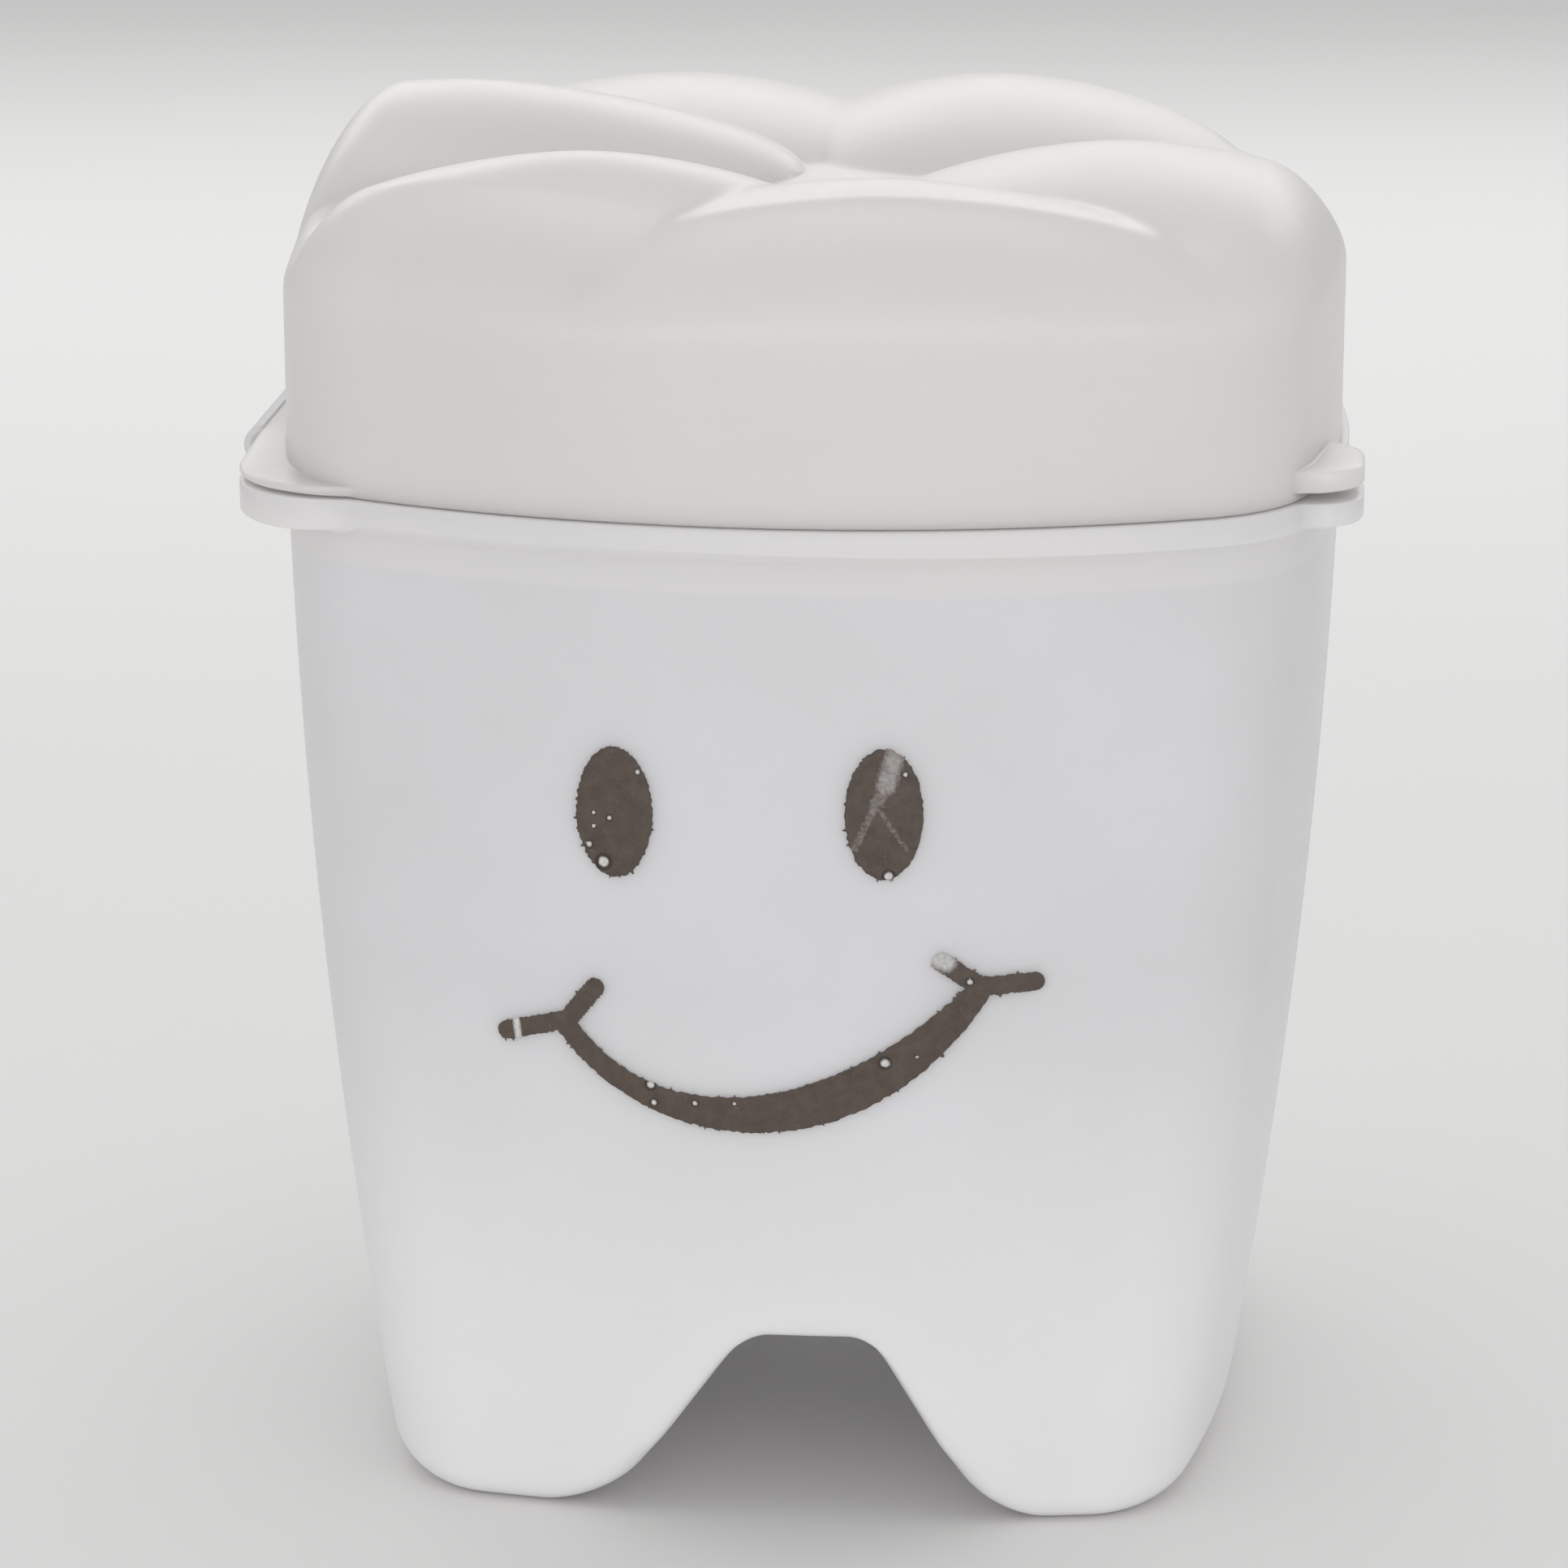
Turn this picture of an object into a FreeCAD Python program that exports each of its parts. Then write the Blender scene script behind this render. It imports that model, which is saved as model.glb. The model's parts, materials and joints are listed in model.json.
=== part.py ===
import FreeCAD, Part
import math
import os

from FreeCAD import Vector

# A small hinged keepsake box in the shape of a molar, moulded in translucent plastic.
# Millimetres. +Z is up, the printed face looks along -Y, the hinge is at -X and the
# thumb tab at +X. The origin is on the surface that the two feet stand on, under the
# middle of the plan.

# Overall sizes
LID_WIDTH = 34.0
LID_DEPTH = 31.0
PARTING_HEIGHT = 33.1

# Plan outline: bulged front, back and sides, joined by round corners
FRONT_BULGE_RADIUS = 33.2
SIDE_BULGE_RADIUS = 45.0
CORNER_RADIUS = 5.2

# Moulded walls and the fit of the lid in the mouth
WALL = 1.2
PLUG_WALL = 0.8
PLUG_DEPTH = 2.1
PLUG_CLEARANCE = 0.15
PLUG_ROOT = 1.0
EDGE_BREAK = 0.15

# Body: how far the walls come in at the feet, and the share of that which is straight
SIDE_TAPER = 3.0
FRONT_TAPER = 1.6
STRAIGHT_SHARE = 0.2
SECTION_COUNT = 5
FOOT_RADIUS = 1.5
RIM_BAND = 0.9
RIM_PROUD = 0.25

# Arch between the two roots, straight through from front to back
ARCH_CENTRE = 0.6
ARCH_HEIGHT = 6.35
ARCH_TOP_HALF = 2.2
ARCH_FOOT_HALF = 6.6
ARCH_TOP_RADIUS = 1.0
ARCH_FOOT_RADIUS = 1.8

# Lid: a crown floor that falls off near the wall, six ridged cusps on it and a round shoulder
FLOOR_HEIGHT = 7.8
FLOOR_FALL = 1.2
CUSP_HEIGHT = 10.0
CUSP_DEPTH = 2.7
CUSP_FULLNESS = 1.6
CUSP_FLANK = 1.5
SHOULDER_RADIUS = 4.9
SHOULDER_ROOM = 0.6
CROWN_STEP = 1.0

# Each cusp: nearer side (-1 left, 1 right) and distance in from it, nearer face (-1 front,
# 1 back) and distance in from it, the lift of its crest, the way the crest runs in degrees,
# half lengths behind and ahead of its middle, half breadths to the right and left of it
CUSPS = (
    (-1, 10.4, -1, 6.15, 0.35, 6.0, (9.2, 8.4), (5.0, 4.65)),
    (1, 14.35, -1, 4.7, -0.1, 1.0, (9.8, 10.4), (9.0, 4.85)),
    (1, 7.25, -1, 12.6, -0.15, 8.0, (8.6, 8.8), (10.0, 5.0)),
    (1, 11.9, 1, 5.0, -0.3, 169.0, (8.4, 8.1), (9.0, 10.0)),
    (-1, 11.3, 1, 5.25, -0.4, 185.0, (8.8, 9.4), (9.0, 10.0)),
    (-1, 5.1, 1, 12.2, 0.5, -7.0, (10.8, 11.2), (6.4, 5.2)),
)

# Flanges and the film hinge between them
FLANGE_REACH = 0.5
FLANGE_THICKNESS = 0.65
FLANGE_FROM_FRONT = 2.6
FLANGE_CORNER = 3.4
FILM_THICKNESS = 0.3
FILM_END_MARGIN = 4.0

# Thumb tab of the lid and the ledge of the body under it
TAB_REACH = 0.7
TAB_LENGTH = 4.5
TAB_FROM_FRONT = 5.0
TAB_THICKNESS = 0.7
TAB_CORNER = 1.6
TAB_GAP = 0.3
LEDGE_THICKNESS = 0.9

# Printed face: ink film, eye ovals, and the strokes of the smile (x, z on the front). Each edge of
# the smile runs from its first place to its last, leaving and coming in towards the two between
INK = 0.06
EYE_HALF_WIDTH = 1.2
EYE_HALF_HEIGHT = 2.1
EYE_LEFT = (-5.05, 23.9)
EYE_RIGHT = (3.3, 24.1)
SMILE_UPPER = ((-6.45, 17.0), (-4.0, 13.2), (1.6, 14.0), (5.95, 18.5))
SMILE_LOWER = ((-7.0, 16.6), (-4.2, 12.4), (2.9, 11.8), (6.65, 18.25))
TICK_HALF_WIDTH = 0.3
SMILE_TICKS = (
    ((-8.5, 16.4), (-6.7, 16.9)),
    ((-6.7, 16.9), (-5.8, 18.0)),
    ((6.2, 18.5), (7.9, 18.55)),
    ((6.2, 18.5), (5.1, 19.2)),
)

# How far cutting blocks run past what they cut, and how near two places count as one
PAST = 1.0
NEAR = 1e-4

# Values that follow from the sizes above
HALF_WIDTH = LID_WIDTH / 2
HALF_DEPTH = LID_DEPTH / 2
FLANGE_END = HALF_WIDTH + FLANGE_REACH
FLANGE_LENGTH = LID_DEPTH - 2 * FLANGE_FROM_FRONT
TAB_MIDDLE = TAB_FROM_FRONT + TAB_LENGTH / 2 - HALF_DEPTH
FILM_INNER = FLANGE_THICKNESS - FILM_THICKNESS


def outline(half_width, half_depth, z, inset=0.0):
    """Closed plan curve at height z: eight tangent arcs, drawn in by inset all round."""
    a = half_width - inset
    b = half_depth - inset
    front = FRONT_BULGE_RADIUS - inset
    side = SIDE_BULGE_RADIUS - inset
    corner = CORNER_RADIUS - inset
    front_centre = Vector(0, front - b, z)
    side_centre = Vector(a - side, 0, z)
    # The corner's centre lies where two circles about the other arcs' centres meet.
    between = side_centre - front_centre
    gap = between.Length
    reach_front = front - corner
    reach_side = side - corner
    along = (reach_front**2 - reach_side**2 + gap**2) / (2 * gap)
    across = math.sqrt(reach_front**2 - along**2)
    step = Vector(between).normalize()
    normal = Vector(-step.y, step.x, 0)
    if normal.x - normal.y < 0:
        normal = normal * -1
    centre = front_centre + step * along + normal * across
    low = front_centre + (centre - front_centre).normalize() * front
    high = side_centre + (centre - side_centre).normalize() * side
    middle = centre + ((low - centre) + (high - centre)).normalize() * corner

    def flip(point, sx, sy):
        return Vector(point.x * sx, point.y * sy, point.z)

    stops = (
        (flip(low, -1, 1), Vector(0, -b, z), low),
        (low, middle, high),
        (high, Vector(a, 0, z), flip(high, 1, -1)),
        (flip(high, 1, -1), flip(middle, 1, -1), flip(low, 1, -1)),
        (flip(low, 1, -1), Vector(0, b, z), flip(low, -1, -1)),
        (flip(low, -1, -1), flip(middle, -1, -1), flip(high, -1, -1)),
        (flip(high, -1, -1), Vector(-a, 0, z), flip(high, -1, 1)),
        (flip(high, -1, 1), flip(middle, -1, 1), flip(low, -1, 1)),
    )
    return Part.Wire([Part.Arc(*stop).toShape() for stop in stops])


def plan_prism(low, high, inset=0.0):
    """Upright block with the lid's plan, drawn in by inset."""
    face = Part.Face(outline(HALF_WIDTH, HALF_DEPTH, low, inset))
    return face.extrude(Vector(0, 0, high - low))


def taper(z):
    """Share of the full taper reached at height z: 0 at the parting plane, 1 at the feet."""
    drop = (PARTING_HEIGHT - z) / PARTING_HEIGHT
    return STRAIGHT_SHARE * drop + (1 - STRAIGHT_SHARE) * drop * abs(drop)


def body_form(low, high, inset=0.0):
    """Tapered block of the body between two heights, drawn in by inset."""
    wires = []
    for step in range(SECTION_COUNT):
        z = low + (high - low) * step / (SECTION_COUNT - 1)
        half_width = HALF_WIDTH - SIDE_TAPER * taper(z)
        half_depth = HALF_DEPTH - FRONT_TAPER * taper(z)
        wires.append(outline(half_width, half_depth, z, inset))
    return Part.makeLoft(wires, True, False)


def edges_at(shape, z):
    """Edges of a shape that lie in the level plane at height z."""
    return [
        edge
        for edge in shape.Edges
        if abs(edge.BoundBox.ZMin - z) < NEAR and abs(edge.BoundBox.ZMax - z) < NEAR
    ]


def rounded_face(corners):
    """Flat face in the XZ plane from (x, z, radius) corners, each rounded by its radius."""
    count = len(corners)
    stops = []
    for i, (x, z, radius) in enumerate(corners):
        here = Vector(x, 0, z)
        before = Vector(corners[i - 1][0], 0, corners[i - 1][1]) - here
        after = Vector(corners[(i + 1) % count][0], 0, corners[(i + 1) % count][1]) - here
        half = before.getAngle(after) / 2
        before.normalize()
        after.normalize()
        reach = radius / math.tan(half)
        inward = (before + after).normalize()
        middle = here + inward * (radius / math.sin(half) - radius)
        stops.append((here + before * reach, middle, here + after * reach))
    edges = []
    for i, (start, middle, end) in enumerate(stops):
        previous = stops[i - 1][2]
        if previous.distanceToPoint(start) > NEAR:
            edges.append(Part.LineSegment(previous, start).toShape())
        if start.distanceToPoint(end) > NEAR:
            edges.append(Part.Arc(start, middle, end).toShape())
    return Part.Face(Part.Wire(edges))


def through_y(face, reach):
    """Extrude an XZ face along Y to both sides of the middle plane."""
    face.translate(Vector(0, -reach, 0))
    return face.extrude(Vector(0, 2 * reach, 0))


def arch_block(grow):
    """Space under the arch, or that space grown by a wall on its sloping sides and top."""
    lean = (ARCH_FOOT_HALF - ARCH_TOP_HALF) / ARCH_HEIGHT
    wider = grow * math.sqrt(1 + lean**2)
    top = ARCH_HEIGHT + grow
    foot = ARCH_FOOT_HALF + wider
    shoulder = foot - lean * top
    # The foot's rounding ends level, on the surface that the feet stand on.
    turn = math.atan2(1, lean)
    ledge = foot + ARCH_FOOT_RADIUS * math.tan(turn / 2)
    face = rounded_face(
        (
            (ARCH_CENTRE - ledge, -PAST, 0),
            (ARCH_CENTRE - ledge, 0, 0),
            (ARCH_CENTRE - foot, 0, ARCH_FOOT_RADIUS),
            (ARCH_CENTRE - shoulder, top, ARCH_TOP_RADIUS + grow),
            (ARCH_CENTRE + shoulder, top, ARCH_TOP_RADIUS + grow),
            (ARCH_CENTRE + foot, 0, ARCH_FOOT_RADIUS),
            (ARCH_CENTRE + ledge, 0, 0),
            (ARCH_CENTRE + ledge, -PAST, 0),
        )
    )
    return through_y(face, LID_DEPTH)


def rim_tab(side, reach, length, corner, low, high, middle=0.0):
    """Flat lug on the outside of the wall, with round corners and its middle at a place along Y.

    Side is +1 for +X, -1 for -X.
    """
    root = HALF_WIDTH / 2
    start = Vector(HALF_WIDTH - root, middle - length / 2, low)
    block = Part.makeBox(reach + root, length, high - low, start)
    outer = HALF_WIDTH + reach
    upright = [
        edge
        for edge in block.Edges
        if abs(edge.BoundBox.XMin - outer) < NEAR and edge.BoundBox.ZLength > (high - low) / 2
    ]
    block = block.makeFillet(corner, upright)
    block = block.cut(plan_prism(low - PAST, high + PAST, WALL / 2))
    block = max(block.Solids, key=lambda solid: solid.Volume)
    if side < 0:
        block = block.mirror(Vector(0, 0, 0), Vector(1, 0, 0))
    return block


def make_body_shell():
    """Two-footed cup with a rim band, half of the hinge flange and the ledge of the thumb tab."""
    outer = body_form(0, PARTING_HEIGHT)
    outer = outer.makeFillet(FOOT_RADIUS, edges_at(outer, 0))
    outer = outer.cut(arch_block(0))
    band = plan_prism(PARTING_HEIGHT - RIM_BAND, PARTING_HEIGHT, -RIM_PROUD)
    ends = edges_at(band, PARTING_HEIGHT) + edges_at(band, PARTING_HEIGHT - RIM_BAND)
    band = band.makeChamfer(EDGE_BREAK, ends)
    flange = rim_tab(
        -1, FLANGE_REACH, FLANGE_LENGTH, FLANGE_CORNER, PARTING_HEIGHT - FLANGE_THICKNESS, PARTING_HEIGHT
    )
    ledge = rim_tab(
        1, TAB_REACH, TAB_LENGTH, TAB_CORNER, PARTING_HEIGHT - LEDGE_THICKNESS, PARTING_HEIGHT, TAB_MIDDLE
    )
    cavity = body_form(WALL, PARTING_HEIGHT + PAST, WALL)
    cavity = cavity.makeFillet(FOOT_RADIUS - WALL, edges_at(cavity, WALL))
    cavity = cavity.cut(arch_block(WALL))
    return outer.fuse([band, flange, ledge]).cut(cavity).removeSplitter()


def cusp_height(spec, x, y):
    """Height of one cusp over a place: full near its crest, then straight down."""
    side, from_side, face, from_face, lift, heading, lengths, breadths = spec
    east = x - side * (HALF_WIDTH - from_side)
    north = y - face * (HALF_DEPTH - from_face)
    run_x = math.cos(math.radians(heading))
    run_y = math.sin(math.radians(heading))
    along = east * run_x + north * run_y
    across = north * run_x - east * run_y
    out = math.hypot(along / lengths[along > 0], across / breadths[across > 0])
    rise = max(1 - out**CUSP_FULLNESS, 0) ** (1 / CUSP_FULLNESS)
    drop = 1 - rise + CUSP_FLANK * max(out - 1, 0)
    return PARTING_HEIGHT + CUSP_HEIGHT + lift - CUSP_DEPTH * drop


def crown_height(x, y):
    """Height of the crown over a place: the highest of its floor and the six cusps."""
    fall = FLOOR_FALL * ((x / HALF_WIDTH) ** 6 + (y / HALF_DEPTH) ** 6)
    floor = PARTING_HEIGHT + FLOOR_HEIGHT - fall
    return max([floor] + [cusp_height(spec, x, y) for spec in CUSPS])


def crown_block(drop):
    """Block whose top is a smooth surface through the crown's heights, all lowered by drop."""
    reach_x = HALF_WIDTH + PAST
    reach_y = HALF_DEPTH + PAST
    count_x = round(2 * reach_x / CROWN_STEP)
    count_y = round(2 * reach_y / CROWN_STEP)
    places_x = [reach_x * (2 * step / count_x - 1) for step in range(count_x + 1)]
    places_y = [reach_y * (2 * step / count_y - 1) for step in range(count_y + 1)]
    grid = [[Vector(x, y, crown_height(x, y) - drop) for y in places_y] for x in places_x]
    top = Part.BSplineSurface()
    top.interpolate(grid)
    return top.toShape().extrude(Vector(0, 0, -PARTING_HEIGHT))


def crown(low, inset):
    """Crown with the lid's plan and a round shoulder, all drawn in by inset and cut off at a height."""
    high = PARTING_HEIGHT + CUSP_HEIGHT + SHOULDER_ROOM - inset
    block = plan_prism(low, high, inset)
    block = block.makeFillet(SHOULDER_RADIUS - inset, edges_at(block, high))
    return block.common(crown_block(inset))


def make_lid_shell():
    """Hollow crown with a plug ring, half of the hinge flange and the thumb tab."""
    skirt = plan_prism(PARTING_HEIGHT, PARTING_HEIGHT + PLUG_ROOT)
    skirt = skirt.makeChamfer(EDGE_BREAK, edges_at(skirt, PARTING_HEIGHT))
    plug_low = PARTING_HEIGHT - PLUG_DEPTH
    plug_inset = SIDE_TAPER * taper(plug_low) + WALL + PLUG_CLEARANCE
    plug = plan_prism(plug_low, PARTING_HEIGHT + PLUG_ROOT, plug_inset)
    plug = plug.makeChamfer(EDGE_BREAK, edges_at(plug, plug_low))
    bore = plan_prism(plug_low - PAST, PARTING_HEIGHT + PLUG_ROOT + PAST, plug_inset + PLUG_WALL)
    flange = rim_tab(
        -1, FLANGE_REACH, FLANGE_LENGTH, FLANGE_CORNER, PARTING_HEIGHT, PARTING_HEIGHT + FLANGE_THICKNESS
    )
    tab_low = PARTING_HEIGHT + TAB_GAP
    tab_high = tab_low + TAB_THICKNESS
    tab = rim_tab(1, TAB_REACH, TAB_LENGTH, TAB_CORNER, tab_low, tab_high, TAB_MIDDLE)
    shell = crown(PARTING_HEIGHT + PLUG_ROOT, 0).cut(crown(PARTING_HEIGHT + PLUG_ROOT, WALL))
    return shell.fuse([skirt, plug, flange, tab]).cut(bore).removeSplitter()


def make_hinge_film():
    """Thin web bent round the flange ends, from the lid's flange to the body's."""
    length = FLANGE_LENGTH - 2 * (FLANGE_CORNER + FILM_END_MARGIN)
    start = Vector(-FLANGE_END, -length / 2, PARTING_HEIGHT)
    along = Vector(0, 1, 0)
    outer = Part.makeCylinder(FLANGE_THICKNESS, length, start, along)
    inner = Part.makeCylinder(FILM_INNER, length, start, along)
    beside = Part.makeBox(
        FLANGE_THICKNESS,
        length,
        2 * FLANGE_THICKNESS,
        Vector(-FLANGE_END - FLANGE_THICKNESS, -length / 2, PARTING_HEIGHT - FLANGE_THICKNESS),
    )
    return outer.cut(inner).common(beside)


def ink_skin():
    """Film of ink height over the whole tapered wall; a print is cut out of it."""
    low = FOOT_RADIUS
    high = PARTING_HEIGHT
    return body_form(low, high, -INK).cut(body_form(0, PARTING_HEIGHT))


def printed(skin, face):
    """Part of the ink skin behind an XZ face, on the front wall only."""
    return skin.common(face.extrude(Vector(0, -LID_DEPTH, 0)))


def make_eye(skin, place):
    """Upright oval of ink."""
    centre = Vector(place[0], 0, place[1])
    tall = centre + Vector(0, 0, EYE_HALF_HEIGHT)
    wide = centre + Vector(EYE_HALF_WIDTH, 0, 0)
    oval = Part.Ellipse(tall, wide, centre).toShape()
    return printed(skin, Part.Face(Part.Wire([oval])))


def stroke(start, end):
    """Straight pen stroke with round ends, as an XZ face."""
    a = Vector(start[0], 0, start[1])
    b = Vector(end[0], 0, end[1])
    ahead = (b - a).normalize() * TICK_HALF_WIDTH
    aside = Vector(-ahead.z, 0, ahead.x)
    edges = (
        Part.LineSegment(a + aside, b + aside).toShape(),
        Part.Arc(b + aside, b + ahead, b - aside).toShape(),
        Part.LineSegment(b - aside, a - aside).toShape(),
        Part.Arc(a - aside, a - ahead, a + aside).toShape(),
    )
    return Part.Face(Part.Wire(edges))


def smooth_edge(places):
    """Smooth XZ edge from the first to the last of its places."""
    curve = Part.BezierCurve()
    curve.setPoles(places)
    return curve.toShape()


def make_smile(skin):
    """Tilted crescent of ink with a forked tick at each end."""
    upper = [Vector(x, 0, z) for x, z in SMILE_UPPER]
    lower = [Vector(x, 0, z) for x, z in SMILE_LOWER]
    edges = (
        smooth_edge(lower),
        Part.LineSegment(lower[-1], upper[-1]).toShape(),
        smooth_edge(upper[::-1]),
        Part.LineSegment(upper[0], lower[0]).toShape(),
    )
    crescent = Part.Face(Part.Wire(edges))
    ticks = [stroke(*tick) for tick in SMILE_TICKS]
    pieces = [face.extrude(Vector(0, -LID_DEPTH, 0)) for face in [crescent] + ticks]
    return skin.common(pieces[0].fuse(pieces[1:]).removeSplitter())


def main():
    os.makedirs("parts", exist_ok=True)
    skin = ink_skin()
    pieces = {
        "body_shell": make_body_shell(),
        "lid_shell": make_lid_shell(),
        "hinge_film": make_hinge_film(),
        "eye_left": make_eye(skin, EYE_LEFT),
        "eye_right": make_eye(skin, EYE_RIGHT),
        "smile": make_smile(skin),
    }
    for name, shape in pieces.items():
        print(name, len(shape.Solids), "solid, valid", shape.isValid(), round(shape.Volume, 2), "mm3")
        shape.exportStep("parts/" + name + ".step")


main()
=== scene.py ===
import json
import math

import bpy
import numpy as np
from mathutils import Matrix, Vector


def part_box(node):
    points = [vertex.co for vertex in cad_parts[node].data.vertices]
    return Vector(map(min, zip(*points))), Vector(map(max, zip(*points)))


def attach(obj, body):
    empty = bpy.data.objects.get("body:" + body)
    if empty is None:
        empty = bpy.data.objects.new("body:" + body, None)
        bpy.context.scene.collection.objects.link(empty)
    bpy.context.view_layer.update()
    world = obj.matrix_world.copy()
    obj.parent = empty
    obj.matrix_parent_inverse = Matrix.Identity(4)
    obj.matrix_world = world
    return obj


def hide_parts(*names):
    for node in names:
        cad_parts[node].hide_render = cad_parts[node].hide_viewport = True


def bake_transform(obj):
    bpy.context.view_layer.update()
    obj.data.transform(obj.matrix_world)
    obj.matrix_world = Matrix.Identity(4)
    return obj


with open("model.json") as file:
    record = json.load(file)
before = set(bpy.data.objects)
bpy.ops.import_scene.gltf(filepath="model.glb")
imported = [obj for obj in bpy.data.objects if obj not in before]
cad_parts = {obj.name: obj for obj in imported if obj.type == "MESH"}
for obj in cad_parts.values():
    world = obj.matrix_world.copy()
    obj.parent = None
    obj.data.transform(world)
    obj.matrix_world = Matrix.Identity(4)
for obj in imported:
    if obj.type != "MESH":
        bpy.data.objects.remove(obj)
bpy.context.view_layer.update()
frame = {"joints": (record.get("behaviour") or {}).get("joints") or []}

# A hinged keepsake box in the shape of a molar: a two-footed cup, a lid with six cusps, a film
# hinge and a printed face. Sizes are in millimetres until a mesh is made, +Z is up and the
# printed face looks along -Y.
MM = 0.001


def node_box(node):
    """Lowest and highest corner of a node of the frame, in millimetres."""
    return [np.array(corner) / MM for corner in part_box(node)]


BODY_HIGH = node_box("body_shell")[1]
LID_LOW, LID_HIGH = node_box("lid_shell")
FILM_LOW, FILM_HIGH = node_box("hinge_film")
PARTING = frame["joints"][0]["pos_m"][2] / MM

# Plan outline, shared by the cup and the lid
FLANGE_REACH = 0.5
HALF_WIDTH = -LID_LOW[0] - FLANGE_REACH
HALF_DEPTH = LID_HIGH[1]
FRONT_RADIUS = 33.2
SIDE_RADIUS = 45.0
CORNER_RADIUS = 5.2
OUTLINE = (HALF_WIDTH, HALF_DEPTH, FRONT_RADIUS, CORNER_RADIUS)
FRONT_SHARE = 0.375
CORNER_SHARE = 0.65625

# Columns of every skin that goes right round, a quarter at a time
QUARTER = 128
TURNS = np.arange(4 * QUARTER) / QUARTER

# Walls
WALL = 1.2
SIDE_TAPER = 3.0
FRONT_TAPER = 1.6
STRAIGHT_SHARE = 0.2
FOOT_FRONT_CURVE = 60.0
FOOT_CORNER = 3.8

# Cup: rim band, feet and the arch between them
RIM_PROUD = BODY_HIGH[1] - HALF_DEPTH
RIM_BAND = 0.9
RIM_TOP = PARTING - 0.01
RIM_FADE = 0.5
FOOT_RADIUS = 1.5
FOOT_FRONT_RADIUS = 0.9
FOOT_SIDE = (0.6 * HALF_WIDTH, 0.8 * HALF_WIDTH)
ARCH_HEIGHT = 6.5
ARCH_TOP = (-1.1, 2.8)
ARCH_FOOT = (-5.75, 6.65)
ARCH_CENTRE = sum(ARCH_TOP) / 2
ARCH_TOP_SOFTNESS = 1.1
ARCH_FOOT_RADIUS = 1.7
ARCH_EDGE_RADIUS = 0.4

# Lid: plug ring, shoulder and cusps
LID_SEAT = PARTING + 0.02
LID_EDGE = 0.06
PLUG_WALL = 0.8
PLUG_LOW = LID_LOW[2]
PLUG_INSET = WALL + 0.2
PLUG_ROOT = PARTING + 1.0
SHOULDER_LOW = PARTING + 5.6
SHOULDER_REACH = 2.6
CROWN_FLOOR = PARTING + 7.8
FLOOR_FALL = 1.2
CUSP_DEPTH = 2.7
CUSP_FULLNESS = 1.6
CUSP_FLANK = 1.5
CREASE_SOFTNESS = 0.07
WALL_SOFTNESS = 0.28

# Each cusp: plan place and height of its crest, half lengths behind and ahead of it, half breadths
# to the right and left of the way that the crest runs, and that way in degrees
CUSPS = (
    (-6.6, -9.35, PARTING + 10.35, 9.2, 8.4, 5.0, 4.65, 6.0),
    (2.65, -10.8, PARTING + 9.9, 9.8, 10.4, 9.0, 4.85, 1.0),
    (9.75, -2.9, PARTING + 9.85, 8.6, 8.8, 10.0, 5.0, 8.0),
    (5.1, 10.5, PARTING + 9.7, 8.4, 8.1, 9.0, 10.0, 169.0),
    (-5.7, 10.25, PARTING + 9.6, 8.8, 9.4, 9.0, 10.0, 185.0),
    (-11.9, 3.3, LID_HIGH[2], 10.8, 11.2, 6.4, 5.2, -7.0),
)

# Lugs: the two flanges of the hinge, the thumb tab and the ledge under it
FLANGE_FROM_FRONT = 2.8
FLANGE_HALF = HALF_DEPTH - FLANGE_FROM_FRONT
FLANGE_CORNER = 3.4
FLANGE_THICKNESS = 0.65
FLANGE_THINNING = 0.3
THINNING_RUN = (6.0, 12.0)
FLANGE_DEEPER = 0.42
DEEPER_RUN = (12.5, 14.0)
TAB_REACH = LID_HIGH[0] - HALF_WIDTH
TAB_HALF = 2.25
TAB_FROM_FRONT = 5.0
TAB_MIDDLE = TAB_FROM_FRONT + TAB_HALF - HALF_DEPTH
TAB_CORNER = 1.6
TAB_LOW = PARTING + 0.3
TAB_HIGH = PARTING + 1.0
LEDGE_THICKNESS = RIM_BAND - 0.1
LUG_GAP = 0.05
CHANGE_OVER = 10.0

# Rounded edges as rows: from a lug's face and share of its step, and from the plug ring's sides and end
LID_LUG_EDGE = ((0.0, 0.08), (0.015, 0.8), (0.05, 0.95), (0.13, 1.0))
CUP_LUG_EDGE = ((0.14, 1.0), (0.06, 0.96), (0.03, 0.8), (0.01, 0.05), (-0.02, 0.0))
PLUG_EDGE = ((0.0, 0.16), (0.05, 0.04), (0.16, 0.0))

# Film hinge: its thickness
FILM_THICKNESS = 0.3

# Printed face, as x and z on the front wall
INK_HEIGHT = 0.05
INK_ROOT = -0.03
INK_RAGGED = 0.018
EDGE_WAVES = 24
TUFT_SHARE = 0.06
TUFT_HEIGHT = 6.5
EYE_COLUMNS = 240
EYE_ROWS = 40
STROKE_COLUMNS = 64
EYE_HALF = (1.2, 2.1)
EYES = {"eye_left": (-5.05, 23.93), "eye_right": (3.3, 24.13)}
SMILE_UPPER = ((-6.45, 17.1), (-4.0, 13.35), (1.6, 14.13), (5.95, 18.58))
SMILE_LOWER = ((-7.0, 16.7), (-4.2, 12.56), (2.9, 11.97), (6.65, 18.33))
TICK_HALF_WIDTH = 0.3
TICK_LIFT = 0.004
SMILE_TICKS = (
    ((-8.6, 16.45), (-6.6, 17.0)),
    ((-6.7, 16.9), (-5.75, 18.13)),
    ((6.1, 18.48), (7.95, 18.63)),
    ((6.3, 18.48), (5.1, 19.32)),
)

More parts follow.
